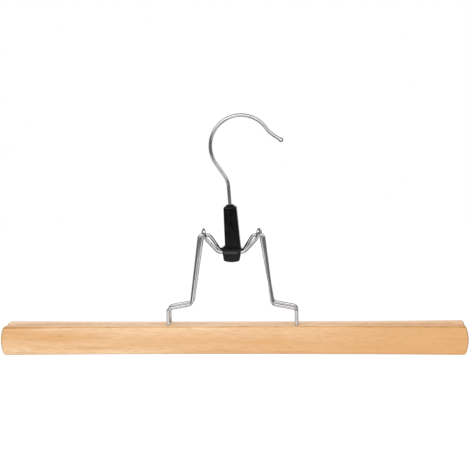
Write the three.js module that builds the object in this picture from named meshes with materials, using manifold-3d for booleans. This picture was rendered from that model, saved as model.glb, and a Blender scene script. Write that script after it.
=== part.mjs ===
// Clamp hanger for skirts and trousers: two felt-lined wooden bars on bent wire yokes, held shut
// by a moulded cam lever that also carries the swivelling hook.
// Millimetres, +Z up, +X along the bars, +Y to the rear. The origin is the rail's seat in the hook.

import * as THREE from "three";
import { mergeVertices } from "three/addons/utils/BufferGeometryUtils.js";
import Module from "manifold-3d";

const wasm = await Module();
wasm.setup();

// Wooden bars
const BAR_LENGTH = 360;
const BAR_HEIGHT = 22.3;
const BAR_THICKNESS = 8;
const BAR_BOW = 3.5; // how far the ends of each bar stand out from its middle, in plan
const BAR_OUTER_ROUND = 1.7;
const BAR_INNER_ROUND = 0.6;
const BAR_END_ROUND = 1.8;
const BAR_END_CROWN = 2.2; // the end face stands out this much at mid height

// Felt strips
const FELT_LENGTH = 332;
const FELT_HEIGHT = 17;
const FELT_THICKNESS = 1.2;
const FELT_ROUND = 0.4;
const GLUE_GAP = 0.3;
const JAW_GAP = 0.3;

// Wire yokes, measured from the cross wires that the lever spreads
const WIRE_RADIUS = 1.3;
const WEB_SPREAD = 8.5; // between the two cross wires when the bars are shut
const FRONT_WEB_HALF = 8.7;
const REAR_WEB_HALF = 9.8;
const AXLE_RISE = 13; // shoulder axle above the cross wires
const AXLE_INNER = 16.7;
const AXLE_OUTER = 24.6;
const WRAP_GAP = 0.35; // between the rear yoke's bend and the axle that it rides over
const WRAP_CENTRE = 21.3;
const WRAP_PITCH = 0.8; // sideways step of the wire as it goes over the axle
const WRAP_RISE = 1; // slack of the wrap above the axle
const KNEE_HALF = 20.2; // where the rear yoke's arm turns up to its wrap
const KNEE_RISE = 11;
const KNEE_OFFSET = 3.3;
const LEG_FOOT_HALF = 31.2;
const STEP_DROP = 40.2;
const STEP_FALL = 3.4; // fall of the step wire from the leg out to the foot
const FOOT_HALF = 49.5;
const BAR_DROP = 56.4; // top of the bars below the cross wires
const FOOT_DEPTH = 14;
const FOOT_CLEARANCE = 0.3;
const BEND_RUN = 2.9; // length of wire, before and after a corner, that its bend takes up

// Lever: block with the cam, and a leaning sleeve above it
const OPEN_ANGLE = 15.5; // degrees that the yokes open
const SWING_ANGLE = 85; // degrees that the lever swings to open them
const CAM_CLEARANCE = 0.45;
const PIVOT_CLEARANCE = 0.3;
const PIVOT_NECK = 2.2; // mouth of the snap slot, narrower than the wire
const LIP_WALL = 2.2;
const BLOCK_X = 0.45;
const BLOCK_WIDTH = 14;
const BLOCK_FOOT_WIDTH = 12.2;
const BLOCK_RISE = 4.5;
const BLOCK_DROP = 7.4;
const BLOCK_BOTTOM_CROWN = 1.1;
const RIDGE_RISE = 0.4;
const LIP_RAKE = 0.7;
const EAR_X = -0.3;
const EAR_WIDTH = 16.2;
const EAR_GAP = 1.1;
const EAR_LOW = 1.1;
const EAR_HIGH = 3.2;
const SLEEVE_X = 1.4;
const SLEEVE_LEAN = 3.4; // degrees, top to the left
const SLEEVE_LOW = 2.2;
const SLEEVE_HEIGHT = 35.4;
const SLEEVE_DEPTH = 10;
const SLEEVE_FOOT_WIDTH = 12.2;
const SLEEVE_TOP_WIDTH = 10;
const SLEEVE_CORNER = 2.3;
const SLEEVE_TOP_ROUND = 2;
const COLLAR_RADIUS = 3.1;
const COLLAR_RISE = 1.1;

// Hook
const HOOK_WIRE_RADIUS = 1.35;
const HOOK_RADIUS = 23.4;
const HOOK_CENTRE_X = 8.4;
const HOOK_CENTRE_Z = 80.9;
const HOOK_NECK_ANGLE = 124.4; // direction of the slanted neck, degrees from +X
const HOOK_NECK_RUN = 5; // wire taken up on each side by the bend from stem to neck
const HOOK_LEAVE_ANGLE = 34;
const HOOK_TIP_ANGLE = -31;
const HOOK_TIP_LEAD = 4.4;
const HOOK_TIP_RUN = 9.9;
const HOOK_TIP_RADIUS = 1.9;
const HEAD_RADIUS = 2.4;
const HEAD_HEIGHT = 2;
const HEAD_LEVEL = 19; // underside of the stem's head above the cross wires
const POCKET_HEIGHT = 6;
const SWIVEL_CLEARANCE = 0.3;

// Facets
const WIRE_SIDES = 8;
const WIRE_STEP = 2.1;
const BAR_STATIONS = 14;
const BAR_SIDE_POINTS = 3;
const ROUND_STEPS = 3;
const CAM_STEPS = 18;

// Derived places
const rad = THREE.MathUtils.degToRad;
const webOffset = WEB_SPREAD / 2;
const innerFace = JAW_GAP / 2 + FELT_THICKNESS + GLUE_GAP;
const barMiddle = innerFace + BAR_THICKNESS / 2;
const bow = (x) => BAR_BOW * (x / (BAR_LENGTH / 2)) ** 2;
const footOffset = barMiddle + bow(FOOT_HALF);
const pivotRadius = WIRE_RADIUS + PIVOT_CLEARANCE;
const lean = rad(SLEEVE_LEAN);
const cutReach = SLEEVE_HEIGHT + BLOCK_WIDTH; // takes cutting shapes past the lever on every side
const railSeat = new THREE.Vector3(HOOK_CENTRE_X, 0, HOOK_CENTRE_Z + HOOK_RADIUS - HOOK_WIRE_RADIUS);

const wood = new THREE.MeshStandardMaterial({ color: 0xe8bd8c, roughness: 0.45, metalness: 0 });
const chrome = new THREE.MeshStandardMaterial({ color: 0xd8d8d8, roughness: 0.12, metalness: 1 });
const blackPlastic = new THREE.MeshStandardMaterial({ color: 0x18181a, roughness: 0.35, metalness: 0 });
const felt = new THREE.MeshStandardMaterial({ color: 0xcdbb9c, roughness: 0.95, metalness: 0 });

// Axis frames for outlines drawn in the side view (Y, Z) and in the front view (X, Z)
const sideView = new THREE.Matrix4().makeBasis(
  new THREE.Vector3(0, 1, 0),
  new THREE.Vector3(0, 0, 1),
  new THREE.Vector3(1, 0, 0),
);
const frontView = new THREE.Matrix4().makeBasis(
  new THREE.Vector3(1, 0, 0),
  new THREE.Vector3(0, 0, 1),
  new THREE.Vector3(0, -1, 0),
);

function toSolid(geometry) {
  const bare = geometry.clone();
  bare.deleteAttribute("normal");
  bare.deleteAttribute("uv");
  const merged = mergeVertices(bare, 1e-4);
  return new wasm.Manifold(
    new wasm.Mesh({
      numProp: 3,
      vertProperties: new Float32Array(merged.attributes.position.array),
      triVerts: new Uint32Array(merged.index.array),
    }),
  );
}

function toGeometry(solid) {
  const { vertProperties, triVerts } = solid.getMesh();
  const geometry = new THREE.BufferGeometry();
  geometry.setAttribute("position", new THREE.BufferAttribute(vertProperties, 3));
  geometry.setIndex(new THREE.BufferAttribute(triVerts, 1));
  geometry.computeVertexNormals();
  return geometry;
}

// Closed skin over rings of equal count, each counter-clockwise seen from the last ring's side.
function loft(rings) {
  const count = rings[0].length;
  const points = rings.flat();
  const faces = [];
  const at = (ring, i) => ring * count + (i % count);
  for (let ring = 0; ring < rings.length - 1; ring++) {
    for (let i = 0; i < count; i++) {
      faces.push(at(ring, i), at(ring, i + 1), at(ring + 1, i));
      faces.push(at(ring, i + 1), at(ring + 1, i + 1), at(ring + 1, i));
    }
  }
  const last = rings.length - 1;
  for (let i = 1; i < count - 1; i++) {
    faces.push(at(0, 0), at(0, i + 1), at(0, i));
    faces.push(at(last, 0), at(last, i), at(last, i + 1));
  }
  const geometry = new THREE.BufferGeometry().setFromPoints(points);
  geometry.setIndex(faces);
  geometry.computeVertexNormals();
  return geometry;
}

// Rounded rectangle, counter-clockwise from its lower right corner, with a round for each corner
// and extra points spread up its two sides.
function roundedRing(halfWidth, halfHeight, rounds, sidePoints = 0) {
  const corners = [[1, -1], [1, 1], [-1, 1], [-1, -1]];
  return corners.flatMap(([sideX, sideY], corner) => {
    const round = rounds[corner];
    const points = Array.from({ length: ROUND_STEPS + 1 }, (_, step) => {
      const angle = rad(90 * (corner - 1 + step / ROUND_STEPS));
      return new THREE.Vector2(
        sideX * (halfWidth - round) + round * Math.cos(angle),
        sideY * (halfHeight - round) + round * Math.sin(angle),
      );
    });
    const climbs = sideX === -sideY;
    for (let step = 1; climbs && step <= sidePoints; step++) {
      const share = step / (sidePoints + 1);
      points.push(new THREE.Vector2(sideX * halfWidth, sideY * (halfHeight - round) * (1 - 2 * share)));
    }
    return points;
  });
}

function prism(outline, frame, from, to) {
  const geometry = new THREE.ExtrudeGeometry(outline, {
    depth: to - from,
    bevelEnabled: false,
    curveSegments: CAM_STEPS,
  });
  return geometry.translate(0, 0, from).applyMatrix4(frame);
}

// Straight runs through the given corners, with a smooth bend at each one.
function bentWire(corners, bendRun) {
  const route = new THREE.CurvePath();
  let from = corners[0];
  for (let i = 1; i < corners.length - 1; i++) {
    const corner = corners[i];
    const back = corners[i - 1].clone().sub(corner);
    const ahead = corners[i + 1].clone().sub(corner);
    const run = Math.min(bendRun, back.length() * 0.48, ahead.length() * 0.48);
    const entry = corner.clone().addScaledVector(back.normalize(), run);
    const exit = corner.clone().addScaledVector(ahead.normalize(), run);
    route.add(new THREE.LineCurve3(from, entry));
    route.add(new THREE.QuadraticBezierCurve3(entry, corner, exit));
    from = exit;
  }
  route.add(new THREE.LineCurve3(from, corners[corners.length - 1]));
  return route;
}

function wireAlong(route, radius) {
  const section = new THREE.Shape().absarc(0, 0, radius, 0, 2 * Math.PI);
  return new THREE.ExtrudeGeometry(section, {
    steps: Math.round(route.getLength() / WIRE_STEP),
    curveSegments: WIRE_SIDES / 2,
    extrudePath: route,
  });
}

// Front bar, its outer face towards -Y, with a blind hole for each wire foot.
function makeBar() {
  const half = BAR_LENGTH / 2;
  const stations = [];
  for (let step = 0; step <= ROUND_STEPS; step++) {
    const angle = rad(90 * (1 - step / ROUND_STEPS));
    const x = half - BAR_END_ROUND * (1 - Math.sin(angle));
    stations.push([-x, BAR_END_ROUND * (1 - Math.cos(angle))]);
  }
  const straight = BAR_LENGTH - 2 * BAR_END_ROUND;
  for (let step = 1; step < BAR_STATIONS; step++) {
    stations.push([straight * (step / BAR_STATIONS - 0.5), 0]);
  }
  for (let step = ROUND_STEPS; step >= 0; step--) {
    stations.push([-stations[step][0], stations[step][1]]);
  }
  const halfHeight = BAR_HEIGHT / 2;
  const rings = stations.map(([x, inset]) => {
    const inner = Math.max(BAR_INNER_ROUND - inset, 0.3);
    const outer = Math.max(BAR_OUTER_ROUND - inset, 0.3);
    const rounds = [inner, inner, outer, outer];
    const ring = roundedRing(BAR_THICKNESS / 2 - inset, halfHeight - inset, rounds, BAR_SIDE_POINTS);
    return ring.map((p) => {
      const crowned = x * (1 - (BAR_END_CROWN / half) * (p.y / halfHeight) ** 2);
      const y = p.x - barMiddle - bow(x);
      return new THREE.Vector3(crowned, y, p.y - BAR_DROP - halfHeight);
    });
  });
  const holeDepth = FOOT_DEPTH + FOOT_CLEARANCE;
  const drill = new THREE.CylinderGeometry(
    WIRE_RADIUS + FOOT_CLEARANCE,
    WIRE_RADIUS + FOOT_CLEARANCE,
    2 * holeDepth,
    2 * WIRE_SIDES,
  ).rotateX(Math.PI / 2);
  let bar = toSolid(loft(rings));
  for (const side of [-1, 1]) {
    const hole = drill.clone().translate(side * FOOT_HALF, -footOffset, -BAR_DROP);
    bar = bar.subtract(toSolid(hole));
  }
  return toGeometry(bar);
}

// Felt strip on the inner face of the front bar, following its bow.
function makeFelt() {
  const rings = [];
  for (let step = 0; step <= BAR_STATIONS; step++) {
    const x = FELT_LENGTH * (step / BAR_STATIONS - 0.5);
    const ring = roundedRing(FELT_THICKNESS / 2, FELT_HEIGHT / 2, Array(4).fill(FELT_ROUND));
    const middle = JAW_GAP / 2 + FELT_THICKNESS / 2;
    rings.push(
      ring.map((p) => new THREE.Vector3(x, p.x - middle - bow(x), p.y - BAR_DROP - BAR_HEIGHT / 2)),
    );
  }
  return loft(rings);
}

// One side of a yoke, from its cross wire out to the end of its foot. depth is -1 on the front yoke.
function yokeSide(webHalf, shoulder, depth) {
  const barSide = depth * footOffset;
  return [
    new THREE.Vector3(webHalf, -depth * webOffset, 0),
    ...shoulder,
    new THREE.Vector3(LEG_FOOT_HALF, barSide, -STEP_DROP),
    new THREE.Vector3(FOOT_HALF, barSide, -STEP_DROP - STEP_FALL),
    new THREE.Vector3(FOOT_HALF, barSide, -BAR_DROP - FOOT_DEPTH),
  ];
}

function makeYoke(side) {
  const mirrored = side.map((p) => new THREE.Vector3(-p.x, p.y, p.z)).reverse();
  return wireAlong(bentWire([...mirrored, ...side], BEND_RUN), WIRE_RADIUS);
}

// The front yoke's shoulders run straight along X: they are the hinge axle.
function makeFrontYoke() {
  const shoulder = [AXLE_INNER, AXLE_OUTER].map((x) => new THREE.Vector3(x, 0, AXLE_RISE));
  return makeYoke(yokeSide(FRONT_WEB_HALF, shoulder, -1));
}

// The rear yoke's arm turns up at a knee and goes over the axle, from its front to its rear.
function makeRearYoke() {
  const reach = 2 * WIRE_RADIUS + WRAP_GAP;
  const top = AXLE_RISE + reach + WRAP_RISE;
  const shoulder = [
    new THREE.Vector3(KNEE_HALF, -KNEE_OFFSET, KNEE_RISE),
    new THREE.Vector3(WRAP_CENTRE - WRAP_PITCH / 2, -reach, top),
    new THREE.Vector3(WRAP_CENTRE + WRAP_PITCH / 2, reach, top),
  ];
  return makeYoke(yokeSide(REAR_WEB_HALF, shoulder, 1));
}

// Place of the front yoke's cross wire beside the lever's pivot after part of the swing, in the
// lever's own frame: both wires keep their distance from the shoulder axle as the yokes open.
function followerPlace(share) {
  const armLength = Math.hypot(webOffset, AXLE_RISE);
  const shutAngle = 2 * Math.atan2(webOffset, AXLE_RISE);
  const opened = rad(OPEN_ANGLE) * share;
  const distance = 2 * armLength * Math.sin((shutAngle - opened) / 2);
  const angle = -opened / 2 - rad(SWING_ANGLE) * share;
  return { distance, angle };
}

// Everything that the follower wire sweeps, and all behind it: what is left of the block is the cam
// below and a flat back above.
function makeCamCut() {
  const clear = WIRE_RADIUS + CAM_CLEARANCE;
  const outline = new THREE.Shape();
  outline.moveTo(webOffset + cutReach, cutReach);
  outline.lineTo(webOffset - clear, cutReach);
  outline.lineTo(webOffset - clear, 0);
  for (let step = 1; step <= CAM_STEPS; step++) {
    const { distance, angle } = followerPlace(step / CAM_STEPS);
    const reach = distance - clear;
    outline.lineTo(-webOffset + reach * Math.cos(angle), reach * Math.sin(angle));
  }
  const end = followerPlace(1);
  const endY = -webOffset + end.distance * Math.cos(end.angle);
  const endZ = end.distance * Math.sin(end.angle);
  outline.absarc(endY, endZ, clear, end.angle + Math.PI, rad(180), false);
  outline.lineTo(endY - clear, -cutReach);
  outline.lineTo(webOffset + cutReach, -cutReach);
  return toSolid(prism(outline, sideView, -cutReach, cutReach));
}

// Snap slot for the rear yoke's cross wire, open downwards through a narrow mouth.
function makePivotCut() {
  const round = new THREE.Shape().absarc(-webOffset, 0, pivotRadius, 0, 2 * Math.PI);
  const mouth = new THREE.Shape();
  mouth.moveTo(-webOffset - PIVOT_NECK / 2, 0);
  mouth.lineTo(-webOffset - PIVOT_NECK / 2, -BLOCK_DROP - cutReach);
  mouth.lineTo(-webOffset + PIVOT_NECK / 2, -BLOCK_DROP - cutReach);
  mouth.lineTo(-webOffset + PIVOT_NECK / 2, 0);
  const cuts = [round, mouth].map((outline) => toSolid(prism(outline, sideView, -cutReach, cutReach)));
  return cuts[0].add(cuts[1]);
}

// Block with a ridge across its nose: its side outline cut to its front outline.
function makeBlock() {
  const nose = -webOffset - pivotRadius - LIP_WALL;
  const side = new THREE.Shape();
  side.moveTo(-SLEEVE_DEPTH / 2, BLOCK_RISE);
  side.lineTo(nose, RIDGE_RISE);
  side.lineTo(nose + LIP_RAKE, -BLOCK_DROP - BLOCK_BOTTOM_CROWN);
  side.lineTo(SLEEVE_DEPTH / 2, -BLOCK_DROP - BLOCK_BOTTOM_CROWN);
  side.lineTo(SLEEVE_DEPTH / 2, BLOCK_RISE);
  const front = new THREE.Shape();
  const footHalf = BLOCK_FOOT_WIDTH / 2;
  const cornerDrop = BLOCK_DROP - BLOCK_BOTTOM_CROWN;
  front.moveTo(BLOCK_X - footHalf, -cornerDrop);
  front.quadraticCurveTo(BLOCK_X, -BLOCK_DROP - BLOCK_BOTTOM_CROWN, BLOCK_X + footHalf, -cornerDrop);
  front.lineTo(BLOCK_X + BLOCK_WIDTH / 2, RIDGE_RISE);
  front.lineTo(BLOCK_X + BLOCK_WIDTH / 2, BLOCK_RISE);
  front.lineTo(BLOCK_X - BLOCK_WIDTH / 2, BLOCK_RISE);
  front.lineTo(BLOCK_X - BLOCK_WIDTH / 2, RIDGE_RISE);
  const sidePrism = toSolid(prism(side, sideView, -cutReach, cutReach));
  return sidePrism.intersect(toSolid(prism(front, frontView, -cutReach, cutReach)));
}

// Ears that keep the two yokes apart beside the block.
function makeEars() {
  const depth = 2 * (webOffset - WIRE_RADIUS - EAR_GAP);
  const ears = new THREE.BoxGeometry(EAR_WIDTH, depth, EAR_HIGH - EAR_LOW);
  return toSolid(ears.translate(EAR_X, 0, (EAR_HIGH + EAR_LOW) / 2));
}

// Tapered sleeve, with the hook's bore and the pocket behind it where the stem's head turns.
function makeSleeve() {
  const levels = [[SLEEVE_LOW, 0]];
  for (let step = 0; step <= ROUND_STEPS; step++) {
    const angle = rad((90 * step) / ROUND_STEPS);
    const top = SLEEVE_HEIGHT - SLEEVE_TOP_ROUND * (1 - Math.sin(angle));
    levels.push([top, SLEEVE_TOP_ROUND * (1 - Math.cos(angle))]);
  }
  const rings = levels.map(([z, inset]) => {
    const share = (z - SLEEVE_LOW) / (SLEEVE_HEIGHT - SLEEVE_LOW);
    const width = THREE.MathUtils.lerp(SLEEVE_FOOT_WIDTH, SLEEVE_TOP_WIDTH, share);
    const rounds = Array(4).fill(SLEEVE_CORNER - inset);
    const ring = roundedRing(width / 2 - inset, SLEEVE_DEPTH / 2 - inset, rounds);
    return ring.map((p) => new THREE.Vector3(p.x, p.y, z));
  });
  const bore = HOOK_WIRE_RADIUS + SWIVEL_CLEARANCE;
  const pocketTop = HEAD_LEVEL + HEAD_HEIGHT + SWIVEL_CLEARANCE;
  const pocketHalf = HEAD_RADIUS + SWIVEL_CLEARANCE;
  const collar = upright(COLLAR_RADIUS, COLLAR_RISE + COLLAR_RADIUS, SLEEVE_HEIGHT - COLLAR_RADIUS);
  const boreCut = upright(bore, cutReach, pocketTop - SWIVEL_CLEARANCE);
  const pocket = new THREE.BoxGeometry(2 * pocketHalf, pocketHalf + cutReach, POCKET_HEIGHT);
  pocket.translate(0, (cutReach - pocketHalf) / 2, pocketTop - POCKET_HEIGHT / 2);
  const sleeve = toSolid(loft(rings)).add(collar).subtract(boreCut).subtract(toSolid(pocket));
  const turned = toGeometry(sleeve).rotateY(-lean).translate(SLEEVE_X, 0, 0);
  return toSolid(turned);
}

// Round bar that stands along Z.
function upright(radius, height, from) {
  const round = new THREE.CylinderGeometry(radius, radius, height, 2 * WIRE_SIDES);
  return toSolid(round.rotateX(Math.PI / 2).translate(0, 0, from + height / 2));
}

function makeLever() {
  const body = makeBlock().add(makeEars()).subtract(makeCamCut()).subtract(makePivotCut());
  return toGeometry(body.add(makeSleeve()));
}

// Part of the hook's circle in the plane of the bars, from one angle round to another.
class HookArc extends THREE.Curve {
  constructor(from, to) {
    super();
    this.from = from;
    this.to = to;
  }

  getPoint(share, target = new THREE.Vector3()) {
    const angle = rad(THREE.MathUtils.lerp(this.from, this.to, share));
    const x = HOOK_CENTRE_X + HOOK_RADIUS * Math.cos(angle);
    return target.set(x, 0, HOOK_CENTRE_Z + HOOK_RADIUS * Math.sin(angle));
  }
}

const heading = (degrees) => new THREE.Vector3(Math.cos(rad(degrees)), 0, Math.sin(rad(degrees)));

// Stem up the sleeve's axis, slanted neck, round crown and a tip that flares out.
function makeHook() {
  const up = new THREE.Vector3(-Math.sin(lean), 0, Math.cos(lean));
  const axisPoint = (level) => new THREE.Vector3(SLEEVE_X, 0, 0).addScaledVector(up, level);
  const neck = heading(HOOK_NECK_ANGLE);
  const crown = new HookArc(HOOK_NECK_ANGLE + 90, HOOK_LEAVE_ANGLE);
  const neckEnd = crown.getPoint(0);
  const toNeck = neckEnd.clone().sub(axisPoint(0));
  const stemRun = (toNeck.x * neck.z - toNeck.z * neck.x) / (up.x * neck.z - up.z * neck.x);
  const stem = bentWire([axisPoint(HEAD_LEVEL), axisPoint(stemRun), neckEnd], HOOK_NECK_RUN);
  const leave = crown.getPoint(1);
  const turn = leave.clone().addScaledVector(heading(HOOK_LEAVE_ANGLE - 90), HOOK_TIP_LEAD);
  const tip = turn.clone().addScaledVector(heading(HOOK_TIP_ANGLE), HOOK_TIP_RUN);
  const route = new THREE.CurvePath();
  route.curves.push(...stem.curves, crown, new THREE.QuadraticBezierCurve3(leave, turn, tip));
  const bead = new THREE.SphereGeometry(HOOK_TIP_RADIUS, 2 * WIRE_SIDES, WIRE_SIDES);
  const head = toGeometry(upright(HEAD_RADIUS, HEAD_HEIGHT, HEAD_LEVEL)).rotateY(-lean);
  const wire = toSolid(wireAlong(route, HOOK_WIRE_RADIUS));
  const headed = wire.add(toSolid(head.translate(SLEEVE_X, 0, 0)));
  return toGeometry(headed.add(toSolid(bead.translate(tip.x, tip.y, tip.z))));
}

function piece(name, geometry, material) {
  const mesh = new THREE.Mesh(geometry, material);
  mesh.name = name;
  return mesh;
}

// The rear jaw is the front jaw turned half round about the upright axis.
const frontJaw = new THREE.Group();
frontJaw.add(piece("front_bar", makeBar(), wood), piece("front_felt", makeFelt(), felt));
const rearJaw = new THREE.Group();
rearJaw.rotation.z = Math.PI;
rearJaw.add(piece("rear_bar", makeBar(), wood), piece("rear_felt", makeFelt(), felt));

const hanger = new THREE.Group();
hanger.position.copy(railSeat).negate();
hanger.add(frontJaw, rearJaw);
hanger.add(piece("front_yoke", makeFrontYoke(), chrome), piece("rear_yoke", makeRearYoke(), chrome));
hanger.add(piece("lever", makeLever(), blackPlastic), piece("hook", makeHook(), chrome));

const part = new THREE.Group();
part.add(hanger);

export default part;
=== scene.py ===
import logging
import math
from dataclasses import dataclass
from enum import Enum
from typing import Callable, Sequence

import bmesh
import bpy
from mathutils import Matrix, Vector


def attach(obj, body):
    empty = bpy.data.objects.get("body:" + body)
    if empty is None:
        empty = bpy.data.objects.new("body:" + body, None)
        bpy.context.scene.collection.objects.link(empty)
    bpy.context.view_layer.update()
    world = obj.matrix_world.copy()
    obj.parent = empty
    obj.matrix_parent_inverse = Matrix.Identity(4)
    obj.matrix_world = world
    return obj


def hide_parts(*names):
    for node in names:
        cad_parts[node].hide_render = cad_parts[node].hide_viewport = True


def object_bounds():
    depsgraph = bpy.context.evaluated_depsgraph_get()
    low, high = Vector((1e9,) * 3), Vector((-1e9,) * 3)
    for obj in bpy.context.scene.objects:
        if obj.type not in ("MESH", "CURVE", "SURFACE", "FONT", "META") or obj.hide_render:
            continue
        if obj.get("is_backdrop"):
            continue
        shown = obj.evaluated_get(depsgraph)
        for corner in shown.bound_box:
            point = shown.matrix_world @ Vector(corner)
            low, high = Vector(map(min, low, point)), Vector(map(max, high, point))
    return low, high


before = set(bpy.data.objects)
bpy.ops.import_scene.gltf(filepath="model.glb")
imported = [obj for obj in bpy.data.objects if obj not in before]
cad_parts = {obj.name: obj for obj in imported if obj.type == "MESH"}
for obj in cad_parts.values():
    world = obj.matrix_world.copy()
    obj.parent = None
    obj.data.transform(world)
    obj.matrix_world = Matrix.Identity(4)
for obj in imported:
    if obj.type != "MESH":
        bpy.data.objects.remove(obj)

log = logging.getLogger("skirt_hanger")

MM = 0.001
# Middle of the two cross wires under the lever. The pieces are built in millimetres from there.
WEB_CENTRE = Vector((-8.4, 0.0, -102.95)) * MM
PHOTO_PIXELS = 470
SENSOR_WIDTH = 36.0
# Edges sharper than this, in degrees, take a rounding.
SHARP_EDGE = 30.0
# Millimetres by which places that count as equal may differ.
NEAR = 0.01

Span = tuple[float, float]
Triple = tuple[float, float, float]
Colour = Triple


class Side(Enum):
    """Which of the two jaws a piece belongs to: the sign is its side of the clamp along Y."""

    FRONT = -1
    REAR = 1

    @property
    def label(self) -> str:
        """Name that the side's pieces and body begin with."""
        return self.name.lower()


class Cut(Enum):
    """How one closed shape acts on another."""

    JOIN = "UNION"
    TAKE_AWAY = "DIFFERENCE"
    KEEP_COMMON = "INTERSECT"


class Edges(Enum):
    """Which edges of a piece a rounding takes."""

    SHARP = "ANGLE"
    WEIGHED = "WEIGHT"


class Slot(Enum):
    """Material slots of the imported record."""

    CHROME = "chrome_wire"
    PLASTIC = "black_plastic"
    WOOD = "wood"
    FELT = "felt"


# Finishes


class Recipe:
    """A procedural material in the making, with short ways to add and join its nodes."""

    def __init__(self, name: str) -> None:
        """Start from a plain shader.

        Args:
            name: Name of the finished material.
        """
        self.material = bpy.data.materials.new(name)
        self.material.use_nodes = True
        self.tree = self.material.node_tree
        self.shader = self.tree.nodes["Principled BSDF"]
        self.place = self.node("ShaderNodeTexCoord").outputs["Object"]

    def node(self, kind: str, **settings: object) -> bpy.types.Node:
        """Add a node.

        Args:
            kind: Blender's name of the node type.
            settings: Properties of the node to set.

        Returns:
            The new node.
        """
        made = self.tree.nodes.new(kind)
        for name, value in settings.items():
            setattr(made, name, value)
        return made

    def join(self, source: bpy.types.NodeSocket, target: bpy.types.NodeSocket) -> None:
        """Link one socket to another."""
        self.tree.links.new(source, target)

    def feed(self, name: str, source: bpy.types.NodeSocket) -> None:
        """Link a socket to one of the shader's inputs."""
        self.join(source, self.shader.inputs[name])

    def set(self, **values: object) -> None:
        """Set constant values on the shader, with underscores for the spaces of its socket names."""
        for name, value in values.items():
            self.shader.inputs[name.replace("_", " ")].default_value = value

    def stretched(self, scale: Triple, turn: float = 0.0) -> bpy.types.NodeSocket:
        """Object coordinates scaled apart along the axes.

        Args:
            scale: Features per metre along X, Y and Z.
            turn: Turn about Y in degrees, so that a grain can run at a slope.

        Returns:
            The scaled coordinates.
        """
        mapping = self.node("ShaderNodeMapping")
        mapping.inputs["Scale"].default_value = scale
        mapping.inputs["Rotation"].default_value = (0.0, math.radians(turn), 0.0)
        self.join(self.place, mapping.inputs["Vector"])
        return mapping.outputs["Vector"]

    def noise(
        self,
        where: bpy.types.NodeSocket,
        detail: float,
        rough: float = 0.5,
        scale: float = 1.0,
    ) -> bpy.types.NodeSocket:
        """Cloudy variation from 0 to 1.

        Args:
            where: Coordinates that it follows.
            detail: Octaves.
            rough: Strength of the finer octaves.
            scale: Scale on those coordinates.

        Returns:
            The noise value.
        """
        cloud = self.node("ShaderNodeTexNoise")
        cloud.inputs["Scale"].default_value = scale
        cloud.inputs["Detail"].default_value = detail
        cloud.inputs["Roughness"].default_value = rough
        self.join(where, cloud.inputs["Vector"])
        return cloud.outputs["Fac"]

    def ranged(
        self,
        value: bpy.types.NodeSocket,
        source: Span,
        target: Span = (0.0, 1.0),
    ) -> bpy.types.NodeSocket:
        """Map a value from one range onto another and hold it there.

        Args:
            value: Value to map.
            source: Its range.
            target: The range that it gets.

        Returns:
            The mapped value.
        """
        node = self.node("ShaderNodeMapRange", clamp=True)
        node.inputs["From Min"].default_value, node.inputs["From Max"].default_value = source
        node.inputs["To Min"].default_value, node.inputs["To Max"].default_value = target
        self.join(value, node.inputs["Value"])
        return node.outputs["Result"]

    def tint(
        self,
        share: bpy.types.NodeSocket,
        low: bpy.types.NodeSocket | Colour,
        high: bpy.types.NodeSocket | Colour,
    ) -> bpy.types.NodeSocket:
        """Mix two colours.

        Args:
            share: 0 gives low and 1 gives high.
            low: First colour, linear, or the socket that gives it.
            high: Second colour, linear, or the socket that gives it.

        Returns:
            The mixed colour.
        """
        mix = self.node("ShaderNodeMix", data_type="RGBA")
        self.join(share, mix.inputs[0])
        for socket, colour in ((mix.inputs[6], low), (mix.inputs[7], high)):
            if isinstance(colour, tuple):
                socket.default_value = (*colour, 1.0)
            else:
                self.join(colour, socket)
        return mix.outputs[2]

    def product(self, first: bpy.types.NodeSocket, second: bpy.types.NodeSocket) -> bpy.types.NodeSocket:
        """Multiply two values.

        Args:
            first: One value.
            second: The other value.

        Returns:
            Their product.
        """
        node = self.node("ShaderNodeMath", operation="MULTIPLY")
        self.join(first, node.inputs[0])
        self.join(second, node.inputs[1])
        return node.outputs["Value"]

    def band(
        self,
        value: bpy.types.NodeSocket,
        limits: Span,
        blur: float,
    ) -> bpy.types.NodeSocket:
        """Pick out a band of a value.

        Args:
            value: The value.
            limits: Where the band begins and ends.
            blur: Width over which it fades outside its limits.

        Returns:
            1 inside the band and 0 well outside it.
        """
        low, high = limits
        rise = self.ranged(value, (low - blur, low))
        fall = self.ranged(value, (high, high + blur), (1.0, 0.0))
        return self.product(rise, fall)

    def axis(self, name: str) -> bpy.types.NodeSocket:
        """Take one coordinate of the object's own place.

        Args:
            name: Letter of the axis.

        Returns:
            The coordinate in metres.
        """
        apart = self.node("ShaderNodeSeparateXYZ")
        self.join(self.place, apart.inputs["Vector"])
        return apart.outputs[name]

    def bump(self, height: bpy.types.NodeSocket, relief: Span) -> None:
        """Raise the surface by a height pattern.

        Args:
            height: The pattern.
            relief: Share of the full relief, and the depth of the full relief in metres.
        """
        bumps = self.node("ShaderNodeBump")
        bumps.inputs["Strength"].default_value, bumps.inputs["Distance"].default_value = relief
        self.join(height, bumps.inputs["Height"])
        self.feed("Normal", bumps.outputs["Normal"])


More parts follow.
